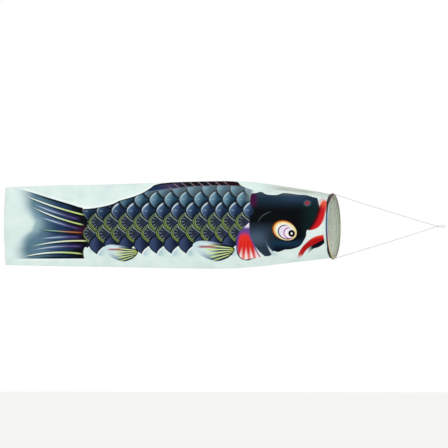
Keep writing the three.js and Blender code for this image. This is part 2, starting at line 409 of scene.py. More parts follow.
        bottom = r.curve(x, [(236, -84), (300, -92), (420, -97), (520, -100), (735, -100)])
        top = r.curve(x, BACK_LINE)
        halo = r.line(y - top - 3, 4, 4) * r.ramp(x, 500, 470) * r.over(x, 240.0, 4)
        self.paint(WHITE, halo * 0.7)
        inside = r.over(top, y) * r.over(y, bottom, 4) * r.over(x, 232.0) * r.over(768.0, x, 3)
        inside = inside * (1 - r.ramp(x, 750, 768) * r.ramp(y, 84, 98))
        fade = 1 - r.ramp(y, -84, -99) * r.over(-71.0, row)
        waist = r.over(y, r.curve(x, [(232, -95), (243, -62), (262, -100)]), 1)
        self.paint(tone, inside * fade * waist)
        rim = inside * r.line(top - y - 1.5, 4, 1.4) * r.over(480.0, x, 20)
        self.paint("0a1220", rim * 0.9)

    def olive_scale(self, ahead, height, own, cover):
        """The middle rows: a dark scale with a double-ruled olive border and a fan of strokes."""
        r = self.r
        tone = r.mix("262d3a", "2c3352", r.ramp(ahead, 22, 40) * 0.7)
        angle = r.math("ARCTAN2", height, 38 - ahead)
        fan = r.math("COSINE", angle * 15)
        reach = r.ramp(own, 8.5, 11) * r.ramp(own, 22, 16)
        tone = r.mix(tone, "8c9aa8", r.ramp(fan, 0.5, 0.95) * reach * 0.6)
        lower = r.ramp(height, 14, -6)
        band = r.mix("333f30", "435326", lower)
        tone = r.mix(tone, band, r.ramp(own, 8.8, 7.6))
        bright = r.mix("8ba283", "a6bf6f", lower)
        ruled = r.line(own - 7.0, 1.4, 0.7) + r.line(own - 1.9, 1.4, 0.7)
        tone = r.mix(tone, bright, ruled)
        dash = r.ramp(r.math("SINE", self.x * 1.25 + self.y * 1.1), -0.3, 0.2)
        dashes = r.line(own - 4.5, 2.0, 0.7) * dash * lower
        tone = r.coats(
            tone,
            ("161d0e", dashes * 0.95),
            ("14200f", r.ramp(own, 1.3, 0.3) * 0.9),
            ("0f1812", r.ramp(cover, 2.8, 0.9) * 0.95),
        )
        shoulder = r.line(cover - 3.8, 1.4, 0.8) * r.over(height, 1.0, 2)
        return r.mix(tone, "a9c0a4", shoulder * 0.9)

    # ----- fins -----
    def dorsal_fin(self):
        r, x, y = self.r, self.x, self.y
        top = r.curve(x, BACK_LINE)
        low = r.curve(x, [(435, 102), (482, 109), (533, 114), (585, 119), (712, 121), (740, 114)])
        inside = r.over(top, y) * r.over(y, low) * r.over(x, 436.0, 4) * r.over(735.0, x, 6)
        tone = r.coats(
            "1a3358",
            ("3a3350", r.ramp(x, 450, 505)),
            ("16101a", r.ramp(x, 500, 560)),
            ("260812", r.ramp(x, 640, 700)),
        )
        self.paint(tone, inside)
        slant = (x * 1.0 + y * 1.35) / 27
        stripe = r.ramp(abs(r.math("FRACT", slant) - 0.5), 0.11, 0.03)
        reach = r.over(x, 500.0, 10) * r.over(678.0, x, 10)
        self.paint("9a8490", stripe * inside * reach * r.ramp(top - y, 0, 6) * 0.75)
        self.paint(BLACK, inside * r.line(top - y - 1.5, 6, 1.5))
        self.paint("8fa6b6", inside * r.line(y - low - 1, 2.5, 1) * 0.5)

    def leaf_fin(self, tip, root, level):
        """A leaf-shaped belly fin, from its free tip to its root nearer the head."""
        r = self.r
        length = root - tip
        t = (self.x - tip) / length
        s = (self.y - level) / length
        upper = r.curve(t, [
            (0, 0.06), (0.09, 0.17), (0.23, 0.195), (0.4, 0.18), (0.57, 0.148), (0.75, 0.105),
            (0.88, 0.075), (0.96, 0.03), (1, 0),
        ])
        lower = r.curve(t, [
            (0, 0.02), (0.08, -0.06), (0.21, -0.175), (0.39, -0.26), (0.55, -0.3), (0.73, -0.258),
            (0.89, -0.165), (0.965, -0.075), (1, 0),
        ])
        soft = 1.2 / length
        inside = r.over(upper, s, soft) * r.over(s, lower, soft)
        inside = inside * r.over(t, 0.0, 0.01) * r.over(1.0, t, 0.01)
        shade = r.ramp(s - lower, 0.2, 0.02) * r.ramp(t, 0.05, 0.5)
        tone = r.mix("d2e7ea", "4b6a82", shade)
        tone = r.mix(tone, "8d93b8", r.ramp(upper - s, 0.06, 0.0) * r.ramp(t, 0.1, 0.4) * 0.7)
        back, drop = 1.25 - t, s + 0.02
        angle = r.math("ARCTAN2", drop, back)
        comb = r.math("COSINE", (angle - 0.12) * (2 * math.pi / 0.11))
        fan = r.over(angle, -0.36, 0.03) * r.over(0.2, angle, 0.02)
        fan = fan * r.ramp(t - abs(drop) * 0.6, 0.2, 0.4)
        hollow = fan * r.ramp(comb, 0.35, -0.3) * r.ramp(t, 0.3, 0.65)
        tone = r.mix(tone, "122a20", hollow)
        tone = r.mix(tone, "d4e48a", fan * r.ramp(comb, 0.1, 0.7) * r.ramp(t, 0.98, 0.9))
        core = r.ramp(r.away(t - 0.93, drop), 0.08, 0.03)
        tone = r.mix(tone, "a9b040", core * 0.8)
        red = r.line(s - 0.055, 0.05, 0.02) * r.ramp(t, 0.06, 0.22) * r.ramp(t, 0.66, 0.4)
        tone = r.mix(tone, "a02c40", red * 0.9)
        rim = r.ramp(upper - s, 0.05, 0.02) + r.ramp(s - lower, 0.06, 0.025)
        rim = r.math("MAXIMUM", rim, r.ramp(t, 0.94, 0.975))
        tone = r.mix(tone, "0a1420", rim * r.ramp(t, 0.4, 0.75))
        self.paint(tone, inside)

    def gill_fin(self):
        r, x, y = self.r, self.x, self.y
        left = r.curve(y, [
            (-112, 742), (-110, 735), (-102, 719), (-80, 710), (-46, 712), (-28, 717), (-13, 730),
            (6, 751),
        ])
        right = r.curve(y, [(-112, 788), (-100, 783), (-75, 773), (-51, 765), (-28, 757), (8, 753)])
        low = r.curve(x, [(706, -100), (719, -104), (735, -111), (760, -106), (790, -99)])
        inside = r.over(x, left, 1) * r.over(right, x, 1) * r.over(y, low, 1) * r.over(7.0, y, 1)
        margin = r.math("MINIMUM", x - left, right - x)
        tone = r.coats(
            PURPLE,
            (RED, r.ramp(margin, 1, 11) * r.ramp(y, -17, -36)),
            ("4c3a8c", r.ramp(x - left, 9, 1) * r.ramp(y, -70, -45) * 0.7),
            ("5a4f78", r.ramp(right - x, 7, 0) * r.ramp(y, -80, -30) * 0.8),
        )
        angle = r.math("ARCTAN2", x - 748, 20 - y)
        streak = r.ramp(r.math("COSINE", angle * 44 + 0.6), -0.9, 0.95)
        tone = r.mix(tone, "c81418", streak * r.ramp(y, -36, -52) * r.ramp(margin, 4, 9) * 0.6)
        pale = r.mix("fbe9e8", "f08a82", streak)
        tone = r.mix(tone, pale, r.ramp(y + streak * 14, -62, -100))
        tone = r.mix(tone, "eadff2", r.ramp(y, -12, -2))
        self.paint(tone, inside)
        self.paint(BLACK, inside * r.ramp(x - left, 5, 2.5) * r.ramp(y, -52, -90))
        self.paint(BLACK, inside * r.ramp(y - low, 4.5, 2.5) * r.over(758.0, x, 14))

    # ----- head -----
    def head(self):
        r, x, y = self.r, self.x, self.y
        top = r.curve(x, [
            (750, 97), (775, 102), (782, 105), (796, 99), (821, 95), (845, 100), (863, 105),
            (913, 104), (946, 98), (976, 93),
        ])
        front = r.curve(y, [
            (-76, 862), (-68, 900), (-61, 911), (-44, 924), (-29, 932), (-14, 935), (-9, 945),
            (3, 952), (18, 961), (33, 970), (54, 973), (76, 968), (97, 960),
        ])
        low = r.curve(x, [
            (780, -108), (797, -99), (807, -98), (819, -92), (826, -81), (837, -84), (849, -81),
            (862, -76), (879, -74), (900, -68), (915, -60),
        ])
        left = r.curve(y, [
            (-99, 797), (-90, 788), (-75, 776), (-61, 767), (-47, 761), (-26, 755), (-8, 753),
            (4, 753), (24, 758), (40, 766), (60, 759), (76, 754), (100, 756),
        ])
        inside = r.over(top, y) * r.over(front, x) * r.over(y, low) * r.over(x, left)
        tone = r.coats(
            "05090d",
            ("1b3042", r.ramp(y, 42, 90)),
            ("354b5e", r.ramp(y, 80, 104) * r.ramp(x, 900, 820) * 0.8),
            ("2c4560", r.ramp(y, 64, 96) * r.ramp(abs(x - 885), 60, 15) * 0.6),
            ("0c2626", r.ramp(x, 900, 960) * r.ramp(y, 90, 40) * 0.8),
            ("293747", r.ramp(y, 16, -16) * r.ramp(x, 870, 790)),
            ("4b5f74", r.ramp(abs(y + 40), 34, 4) * r.ramp(x, 822, 775) * 0.75),
            ("143048", r.ramp(y, -34, -56) * r.ramp(x, 806, 830)),
            ("040b1c", r.ramp(y, -54, -74) * r.ramp(x, 815, 835)),
        )
        maroon = r.ramp(abs(y - 78), 30, 12) * r.ramp(x, 782, 764)
        tone = r.mix(tone, "42103c", maroon)
        self.paint(tone, inside)
        rim = r.ramp(top - y, 4.5, 1.5) + r.ramp(y - low, 5, 2) * r.over(x, 826.0, 3)
        self.paint(BLACK, inside * rim * 0.8)
        arc = r.curve(x, [(777, 0), (784, 16), (796, 29), (810, 37), (826, 42)])
        self.paint("5d6c72", r.line(y - arc, 2, 1.2) * r.ramp(x, 778, 784) * r.ramp(x, 828, 805) * 0.8)
        slit = r.curve(y, [(-95, 820), (-79, 812), (-63, 806), (-44, 801)])
        wide = r.curve(y, [(-95, 18), (-79, 8), (-63, 4), (-44, 1)])
        gap = r.over(x, slit, 1) * r.over(slit + wide, x, 1) * r.over(-44.0, y, 3) * r.over(y, -95.0, 3)
        self.paint(r.mix("4a6380", "c5d8dc", r.ramp(y, -58, -84)), gap)
        self.nostril()

    def nostril(self):
        r = self.r
        across, up = self.x - 933, self.y - 72
        away = r.away(across, up)
        self.paint("3d5c68", r.ramp(away, 15, 8) * 0.85)
        self.paint("943848", r.ramp(away, 9.2, 6.6))

    def oval(self, middle, half_length, half_height, tilt):
        """1 on the outline of an oval and 0 at its middle."""
        turn = math.radians(tilt)
        across, up = self.x - middle[0], self.y - middle[1]
        along = (across * math.cos(turn) + up * math.sin(turn)) / half_length
        over = (up * math.cos(turn) - across * math.sin(turn)) / half_height
        return self.r.away(along, over)

    def eye(self):
        r, x, y = self.r, self.x, self.y
        ball = self.oval((866, -16), 37.5, 28, -16)
        lit = r.ramp(x - y, 900, 850)
        shadow = self.oval((870, -12), 44, 35, -16)
        self.paint(BLACK, r.ramp(shadow, 1.06, 0.97))
        self.paint("9a4c16", r.ramp(ball, 1.16, 1.02) * r.ramp(x - y, 895, 850))
        tone = r.mix("f2dfa0", "f0a04c", r.ramp(ball, 0.84, 0.98) * lit)
        tone = r.mix(tone, "f7f4e6", r.ramp(ball, 0.84, 0.74))
        ring = self.oval((870, -20), 25, 20.5, -14)
        left = r.ramp(x + y * 0.3, 882, 862)
        tone = r.mix(tone, "382f66", r.line(ring - 1, 0.16, 0.05) * left)
        tone = r.mix(tone, "efe2f4", r.ramp(ring, 0.95, 0.88))
        ring = self.oval((880, -23), 17, 16, -12)
        left = r.ramp(x + y * 0.3, 887, 870)
        tone = r.mix(tone, "a83c92", r.line(ring - 1, 0.2, 0.06) * left)
        tone = r.mix(tone, "fbf3f8", r.ramp(ring, 0.93, 0.86))
        pupil = self.oval((887, -23.5), 10.5, 10.5, 0)
        tone = r.mix(tone, "020203", r.ramp(pupil, 1.08, 0.96))
        tone = r.mix(tone, "fafafa", r.ramp(pupil, 0.4, 0.22))
        self.paint(tone, r.ramp(ball, 1.02, 0.98))

    def lips(self):
        r, x, y = self.r, self.x, self.y
        outer = r.curve(y, [
            (-13, 944), (-7, 964), (3, 978), (20, 988), (40, 993), (57, 995), (76, 994), (92, 986),
        ])
        inner = r.curve(y, [
            (-13, 943), (-6, 946), (7, 955), (22, 963), (37, 968), (52, 972), (66, 975), (80, 980),
            (92, 984),
        ])
        across, up = x - 978, y - 84
        away = r.away(across, up * math.sqrt(0.5))
        self.paint("dca8a8", r.ramp(away, 17, 4) * 0.7)
        inside = r.over(outer, x, 1.2) * r.over(x + 3, inner, 2.4) * r.ramp(y, 98, 80)
        inside = inside * r.over(y, -13.0, 1)
        share = (x - inner) / (outer - inner)
        tone = r.coats(
            "3a080c",
            ("cf1c22", r.ramp(share, -0.05, 0.5)),
            ("ee5a3c", r.ramp(y, 52, 78)),
            ("f0a096", r.ramp(share, 0.8, 1.0) * 0.7),
        )
        self.paint(tone, inside)

        upper = r.curve(x, [
            (893, -112), (897, -102), (906, -82), (918, -65), (935, -48), (951, -36), (967, -29),
            (990, -24),
        ])
        lower = r.curve(x, [
            (893, -125), (908, -107), (921, -86), (935, -70), (949, -60), (965, -51), (981, -42),
            (990, -39),
        ])
        low = r.curve(x, [(930, -92), (937, -85), (950, -73), (966, -67), (981, -57), (990, -47)])
        chin = r.over(lower + 3, y, 1.2) * r.over(y, low, 1.6) * r.over(988.0, x, 1)
        self.paint("0a0818", chin * r.ramp(x, 926, 950))
        lip = r.over(upper, y, 1.6) * r.over(y, lower, 1.6) * r.over(987.0, x, 1)
        tone = r.mix("b81216", "e43e28", r.ramp(upper - y, 10, 3) * r.ramp(x, 930, 970))
        tone = r.mix(tone, "c04a4c", r.ramp(x, 922, 900) * 0.6)
        self.paint(tone, lip * r.ramp(y, -118, -90) * r.over(x, 892.0, 2))
        self.paint("0a0c16", r.over(x, 998 - r.ramp(abs(y), 30, 85) * 6.5))

    # ----- the cloth under the ink -----
    def finish(self):
        """Woven polyester: ink soaked a little unevenly into a plain weave, with painted shade of
        creases along the top edge near the mouth.
        """
        r = self.r
        uneven = r.cloud(self.uv, 18.0, 4.0)
        streaks = r.cloud(r.stretched(self.uv, (2.5, 34, 1)), 3.0, 3.0)
        # Painted shade of creases: grey-beige lines along the top edge near the mouth.
        shaded = r.ramp(self.y, 92, 122) * r.ramp(self.x, 770, 860)
        colour = r.mix(self.colour, "a4a293", r.ramp(streaks, 0.2, 0.7) * shaded * 0.75)
        colour = r.mix(colour, "eef2f1", r.ramp(uneven, 0.35, 0.8), "MULTIPLY")
        warp = r.math("SINE", self.x * (2 * math.pi / 0.62))
        weft = r.math("SINE", self.y * (2 * math.pi / 0.62))
        weave = warp * weft
        colour = r.mix(colour, "e6e9e8", r.ramp(weave, 0.1, -1.0), "MULTIPLY")
        normal = r.bump(weave * 0.12 + uneven, 0.4 * MM, 0.3)
        r.set(Base_Color=colour, Roughness=0.76 + uneven * 0.1, Normal=normal)
        r.surface.inputs["Specular IOR Level"].default_value = 0.06
        return r.material


def tail_print():
    fish = Print("printed_cloth_tail")
    fish.scales()
    fish.tail_fin()
    return fish.finish()


def body_print():
    fish = Print("printed_cloth_body")
    fish.scales()
    fish.dorsal_fin()
    fish.leaf_fin(303, 409, -76)
    fish.leaf_fin(576, 706, -71)
    return fish.finish()


def head_print():
    fish = Print("printed_cloth_head")
    fish.scales()
    fish.dorsal_fin()
    fish.gill_fin()
    fish.head()
    fish.eye()
    fish.lips()
    return fish.finish()


def reverse_of_cloth():
    """The unprinted inner face, where the ink only shows through as a grey shade."""
    r = Recipe("cloth_reverse")
    uv = r.flat_place("cloth")
    shade = r.cloud(uv, 9.0, 3.0)
    colour = r.mix("dfe6d8", "d2d9cd", r.ramp(shade, 0.35, 0.7))
    fine = r.cloud(uv, 1400.0, 2.0)
    colour = r.mix(colour, "e2e6e3", r.ramp(fine, 0.5, 0.9), "MULTIPLY")
    r.set(Base_Color=colour, Roughness=0.75 + fine * 0.1, Normal=r.bump(fine, 0.2 * MM, 0.4))
    return r.material


# ---------- making pieces ----------
def select_where(test):
    """In edit mode, selects the vertices whose place passes a test, and what lies between them."""
    data = bpy.context.object.data
    mesh = bmesh.from_edit_mesh(data)
    for vertex in mesh.verts:
        vertex.select = bool(test(vertex.co))
    mesh.select_flush_mode()
    bmesh.update_edit_mesh(data)


def finished_piece(name, data, *materials):
    """Puts a mesh at the origin as a smooth-shaded piece."""
    for material in materials:
        data.materials.append(material)
    for face in data.polygons:
        face.use_smooth = True
    piece = bpy.data.objects.new(name, data)
    bpy.context.scene.collection.objects.link(piece)
    return piece


def new_piece(name, mesh, *materials):
    """Turns a bmesh into a finished piece."""
    data = bpy.data.meshes.new(name)
    mesh.to_mesh(data)
    mesh.free()
    return finished_piece(name, data, *materials)


def give_wall(piece, thickness, inner_material=0):
    """Gives a single layer its thickness, half to each side."""
    wall = piece.modifiers.new("wall", "SOLIDIFY")
    wall.thickness = thickness
    wall.offset = 0
    wall.material_offset = inner_material
    bpy.context.view_layer.objects.active = piece
    bpy.ops.object.modifier_apply(modifier=wall.name)


def cloth_strip(name, rows, thickness, material):
    """A narrow strip of cloth through rows of points."""
    mesh = bmesh.new()
    grid = [[mesh.verts.new(point) for point in row] for row in rows]
    for first, second in zip(grid, grid[1:]):
        for k in range(len(first) - 1):
            mesh.faces.new((first[k], first[k + 1], second[k + 1], second[k]))
    strip = new_piece(name, mesh, material)
    give_wall(strip, thickness)
    return strip


def bend_with_cloth(piece):
    """Bakes a piece's placement into its mesh."""
    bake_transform(piece)


# ---------- the cloth's shape ----------
def smooth(t):
    t = np.clip(t, 0, 1)
    return t * t * (3 - 2 * t)


def along(keys):
    """A smooth curve through (place, value) pairs, as a function of place."""
    places, values = (np.array(column, float) for column in zip(*keys))
    before = np.maximum(np.arange(len(keys)) - 1, 0)
    after = np.minimum(np.arange(len(keys)) + 1, len(keys) - 1)
    slopes = (values[after] - values[before]) / (places[after] - places[before])

    def read(place):
        i = np.clip(np.searchsorted(places, place), 1, len(keys) - 1)
        span = places[i] - places[i - 1]
        t = np.clip((place - places[i - 1]) / span, 0, 1)
        start = (2 * t**3 - 3 * t**2 + 1) * values[i - 1]
        start = start + (t**3 - 2 * t**2 + t) * span * slopes[i - 1]
        return start + (3 * t**2 - 2 * t**3) * values[i] + (t**3 - t**2) * span * slopes[i]

    return read


STANDING_SHARE = along([
    (0, 2 / math.pi), (0.03, 0.668), (0.06, 0.706), (0.09, 0.734), (0.16, 0.813), (0.23, 0.885),
    (0.3, 0.932), (0.4, 0.955), (0.55, 0.961), (0.7, 0.964), (0.85, 0.98), (1, 0.981),
])
MIDDLE_HEIGHT = along([
    (0, 0), (0.06, 0.0026), (0.22, 0.005), (0.4, 0.004), (0.7, 0.0018), (0.9, 0.0014), (1, 0.0003),
])


def cut_at(share):
    return MOUTH_CUT + (TAIL_CUT - MOUTH_CUT) * share


def section_line(share, count=361):
    """One side of the tube's section, as distances out and heights, from belly to back."""
    angles = np.linspace(-math.pi / 2, math.pi / 2, count)
    height = cut_at(share) * STANDING_SHARE(share)
    sharpness = 1 + 0.8 * smooth(share / 0.4)
    bow = np.clip(np.cos(angles), 0, 1) ** sharpness
    rise = height / 2 * np.sin(angles)
    low, high = 0.0, cut_at(share)
    for _ in range(30):
        depth = (low + high) / 2
        if np.hypot(np.diff(depth * bow), np.diff(rise)).sum() < cut_at(share):
            low = depth
        else:
            high = depth
    return depth * bow, rise


def cloth_surface(shares, ups):
    """Points of the right side: rows along the length, columns at shares of the cut, 0 to 1."""
    rows = []
    for share in shares:
        out, rise = section_line(share)
        run = np.concatenate([[0], np.cumsum(np.hypot(np.diff(out), np.diff(rise)))])
        at = ups * run[-1]
        y, z = np.interp(at, run, out), np.interp(at, run, rise)
        lean = -math.tan(MOUTH_LEAN) * z * (1 - smooth(share / 0.5))
        x = MOUTH_X - share * CLOTH_LENGTH + lean
        rows.append(np.stack([x, -y, z + MIDDLE_HEIGHT(share)], 1))
    return np.array(rows)


def folds(share, up):
    """How far wind and seams push the cloth out, in metres: not at all at the seams, up 0 and 1."""
    back = share * 1000
    cut = cut_at(share) * 1000
    rise = (up - 0.5) * cut
    gathers = 0.55 * np.exp(-back / 16) * (np.sin(rise / 1.9) + 0.7 * np.sin(rise / 1.13 + 2))
    seam = np.minimum(up, 1 - up) * cut
    puckers = 0.35 * np.exp(-seam / 9) * (np.sin(back / 4.1) + np.sin(back / 6.7 + 1))
    tension = np.zeros_like(back)
    for sign in (1, -1):
        down = cut / 2 - sign * rise
        for slope, width, size in (
            (0.05, 0.020, 1.3), (0.14, 0.030, -1.5), (0.26, 0.045, 1.5), (0.42, 0.06, -1.1),
            (0.62, 0.08, 0.8),
        ):
            off = (down - slope * back) / (3 + width * back)
            reach = np.exp(-((back - 90) / 130) ** 2) * smooth(back / 30)
            tension = tension + size * np.exp(-off * off) * reach
    billow = 1.6 * np.sin(back / 52 + 0.6) * np.sin(math.pi * up) * smooth(back / 200)
    ripple = 1.3 * np.sin(rise / 21 + back / 95) * smooth((back - 500) / 400)
    held = smooth(np.minimum(up, 1 - up) * 40)
    return (gathers + puckers + tension + billow + ripple) * held * MM


def flutter(share, up):
    """The sideways wave that both sides of the tail share."""
    back = share * 1000
    grow = smooth((back - 620) / 380)
    return (5.0 * np.sin(back / 70 - 1.2) + 2.2 * np.sin((up - 0.5) * 9 + back / 60)) * grow * MM


LENGTH_STEPS = 330
CUT_STEPS = 96
SEAM_GAP = 0.15 * MM
PRINT_LENGTHS = (0.262, 0.708, 1)  # where the tail's, the body's and the head's print end


def side_panel(name, side, materials):
    """One printed side, from a flat grid: sewn into the hem and blown out to its place."""
    bpy.ops.object.select_all(action="DESELECT")
    bpy.ops.mesh.primitive_grid_add(x_subdivisions=LENGTH_STEPS, y_subdivisions=CUT_STEPS, size=1)
    panel = bpy.context.object
    panel.name = panel.data.name = name
    mesh = panel.data
    flat = np.zeros(len(mesh.vertices) * 3)
    mesh.vertices.foreach_get("co", flat)
    flat = flat.reshape(-1, 3)
    row = np.rint((0.5 - flat[:, 0]) * LENGTH_STEPS).astype(int)
    column = np.rint((flat[:, 1] + 0.5) * CUT_STEPS).astype(int)
    shares = CLOTH_START + (1 - CLOTH_START) * np.arange(LENGTH_STEPS + 1) / LENGTH_STEPS
    ups = np.arange(CUT_STEPS + 1) / CUT_STEPS
    points = cloth_surface(shares, ups)
    normals = np.cross(np.gradient(points, axis=0), np.gradient(points, axis=1))
    normals /= np.linalg.norm(normals, axis=2, keepdims=True) + 1e-12
    if normals[LENGTH_STEPS // 2, CUT_STEPS // 2, 1] > 0:
        normals = -normals
    grid_share, grid_up = np.meshgrid(shares, ups, indexing="ij")
    points = points + normals * folds(grid_share, grid_up)[..., None]
    points[..., 1] = np.minimum(points[..., 1], -SEAM_GAP)
    if side > 0:
        points[..., 1] *= -1
    points[..., 1] += flutter(grid_share, grid_up)
    mesh.vertices.foreach_set("co", points[row, column].ravel())
    layer = mesh.uv_layers[0]
    layer.name = "cloth"
    corners = np.zeros(len(mesh.loops), int)
    mesh.loops.foreach_get("vertex_index", corners)
    place = np.stack([
        (1 - shares[row]) * CLOTH_LENGTH,
        (ups[column] - 0.5) * cut_at(shares[row]),
    ], 1)
    layer.uv.foreach_set("vector", place[corners].astype(np.float32).ravel())
    for material in materials:
        mesh.materials.append(material)
    paint_lengths(mesh)
    mesh.update()
    centre = mesh.polygons[len(mesh.polygons) // 2]
    if centre.normal.y * side < 0:
        mesh.flip_normals()
    give_wall(panel, CLOTH_THICKNESS, len(PRINT_LENGTHS))
    return panel


def paint_lengths(mesh):
    """Gives the tail, the body and the head their own lengths of the print."""
    for face in mesh.polygons:
        middle = 1 - (MOUTH_X - face.center.x) / CLOTH_LENGTH
        face.material_index = sum(middle >= end for end in PRINT_LENGTHS[:-1])
        face.use_smooth = True


def hang_cloth(prints, inner):
    for side, word in ((-1, "right"), (1, "left")):
        panel = side_panel(f"{word}_side_panel", side, [*prints, inner, inner, inner])
        bend_with_cloth(panel)
        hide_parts(f"{word}_front_panel", f"{word}_tail_panel")


# ---------- thread and stitches ----------
def sewing_thread():
    r = Recipe("sewing_thread")
    place = r.object_place()
    fibre = r.cloud(place, 2400.0, 3.0)
    colour = r.mix("c9d2d0", "f1f4f2", r.ramp(fibre, 0.35, 0.7))
    r.set(Base_Color=colour, Roughness=0.75, Normal=r.bump(fibre, 0.1 * MM, 0.6))
    return r.material


STITCH_PITCH = 3.2 * MM
STITCH_HALF = 0.36 * STITCH_PITCH
THREAD_RADIUS = 0.26 * MM
# along the stitch as a share of its half, lift in millimetres, thickness as a share of the thread's
STITCH_RINGS = ((-1, -0.2, 0.4), (-0.55, 0.12, 0.9), (0, 0.2, 1), (0.55, 0.12, 0.9), (1, -0.2, 0.4))


def model_stitch():
    """One lockstitch along X: a stub of thread that thins and dips into the cloth at both ends."""
    bpy.ops.object.select_all(action="DESELECT")
    bpy.ops.mesh.primitive_cylinder_add(
        vertices=5, radius=THREAD_RADIUS, depth=2 * STITCH_HALF, rotation=(0, math.pi / 2, 0),
    )
    bpy.ops.object.transform_apply(location=False, rotation=True, scale=False)
    stitch = bpy.context.object
    bpy.ops.object.mode_set(mode="EDIT")
    for share, _, _ in STITCH_RINGS[1:-1]:
        bpy.ops.mesh.select_all(action="SELECT")
        middle = (share * STITCH_HALF, 0, 0)
        bpy.ops.mesh.bisect(plane_co=middle, plane_no=(1, 0, 0), threshold=0.001 * MM)
    for share, lift, width in STITCH_RINGS:
        middle = (share * STITCH_HALF, 0, 0)
        select_where(lambda place: abs(place.x - middle[0]) < 0.01 * MM)
        bpy.ops.transform.resize(value=(1, width, width), center_override=middle)
        bpy.ops.transform.translate(value=(0, 0, lift * MM))
    bpy.ops.object.mode_set(mode="OBJECT")
    places = np.array([vertex.co for vertex in stitch.data.vertices])
    faces = [np.array(face.vertices) for face in stitch.data.polygons]
    bpy.data.objects.remove(stitch)
    return places, faces


def stitch_row(name, stitch, points, normals, material):
    """Copies of the one stitch, set end to end along a line on the cloth."""
    places, faces = stitch
    runs = np.linalg.norm(np.diff(points, axis=0), axis=1)
    at = np.concatenate([[0], np.cumsum(runs)])
    count = int(at[-1] / STITCH_PITCH)
    all_places, all_faces = [], []
    for i in range(count):
        middle = (i + 0.5) * at[-1] / count
        pick = middle + places[:, 0]
        line = np.stack([np.interp(pick, at, points[:, k]) for k in range(3)], 1)
        out = np.array([np.interp(middle, at, normals[:, k]) for k in range(3)])
        out /= np.linalg.norm(out)
        side = np.cross(out, line[pick.argmax()] - line[pick.argmin()])
        side /= np.linalg.norm(side)
        all_places.extend(line + places[:, 1:2] * side + places[:, 2:] * out)
        all_faces.extend(face + i * len(places) for face in faces)
    data = bpy.data.meshes.new(name)
    data.from_pydata(all_places, [], [face.tolist() for face in all_faces])
    return finished_piece(name, data, material)


def seam_line(up, shares):
    """Points along the ridge where the two sides are sewn together, and the way out of it."""
    points = cloth_surface(shares, np.array([float(up)]))[:, 0]
    points[:, 1] = flutter(shares, np.full(len(shares), float(up)))
    normals = np.zeros_like(points)
    normals[:, 2] = 1 if up else -1
    return points, normals


def sew_seams(stitch, thread):
    shares = np.linspace(TAPE_DEPTH / CLOTH_LENGTH, 1, 300)
    for up, word in ((1, "back"), (0, "belly")):
        points, normals = seam_line(up, shares)
        stitches = stitch_row(f"{word}_seam_stitches", stitch, points, normals, thread)
        bend_with_cloth(stitches)
        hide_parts(f"{word}_seam_thread_front", f"{word}_seam_thread_tail")
        allowance = seam_allowance(f"{word}_seam_allowance", points, normals)
        bend_with_cloth(allowance)


def seam_allowance(name, points, normals):
    """The two turned-in edges inside the ridge, overcast and a little wavy."""
    rows = []
    for i, (point, out) in enumerate(zip(points, normals)):
        sway = 0.1 * MM * np.array([k * math.sin(i * 0.55 + k) for k in range(4)])
        row = [point - out * depth * MM for depth in (0.6, 2.2, 3.8, 5.4)]
        rows.append([spot + np.array([0, s, 0]) for spot, s in zip(row, sway)])
    return cloth_strip(name, rows, 0.5 * MM, overcast_edge())


def overcast_edge():
    """White cloth edges overcast with thread: slanted ridges across the allowance."""
    r = Recipe("overcast_edge")
    place = r.object_place()
    x, _, z = r.split(place)
    slant = (x + z * 0.5) * (2 * math.pi / (1.4 * MM))
    ridge = r.math("SINE", slant)
    colour = r.mix("aebcb2", "e8eeea", r.ramp(ridge, -0.2, 0.8))
    r.set(Base_Color=colour, Roughness=0.8, Normal=r.bump(ridge, 0.15 * MM, 0.5))
    return r.material


def sew_tail_hem(stitch, thread, inner):
    """The rolled hem at the open tail: a turned-in strip inside, and its row of stitches."""
    ups = np.linspace(0.006, 0.994, 90)
    for side, word in ((-1, "right"), (1, "left")):
        grid = cloth_surface(np.array([TAIL_HEM_SHARE - 0.002, TAIL_HEM_SHARE + 0.002]), ups)
        points = grid.mean(0)
        normals = np.cross(grid[1] - grid[0], np.gradient(points, axis=0))
        normals /= np.linalg.norm(normals, axis=1, keepdims=True)
        normals *= -np.sign(normals[45, 1])
        where = np.full(len(ups), TAIL_HEM_SHARE)
        push = folds(where, ups)[:, None]
        points = points + normals * (push + CLOTH_THICKNESS / 2)
        if side > 0:
            points[:, 1] *= -1
            normals[:, 1] *= -1
        points[:, 1] += flutter(where, ups)
        stitches = stitch_row(f"{word}_hem_stitches", stitch, points, normals, thread)
        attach(stitches, "tail")
        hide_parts(f"{word}_hem_thread")
        inside = points - normals * (CLOTH_THICKNESS + 0.25 * MM)
        rows = [[spot + np.array([x * MM, 0, 0]) for x in (2.6, 0, -3.6, -7.1)] for spot in inside]
        strip = cloth_strip(f"{word}_tail_hem", rows, 0.2 * MM, inner)
        strip.data.uv_layers.new(name="cloth")
        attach(strip, "tail")


# ---------- mouth ----------
LIP_HALF_GAP = 0.55 * MM  # from the middle of each lip to the cloth's own middle
LIP_STEPS = 5
ROLL_SIDES = 22
RIM_STEPS = 288
HEM_STITCHES_IN = 1.3 * MM  # from the back of the lips
HEM_STITCHES_OUT = 0.85 * MM  # out from the wire's own circle, on top of the outer lip


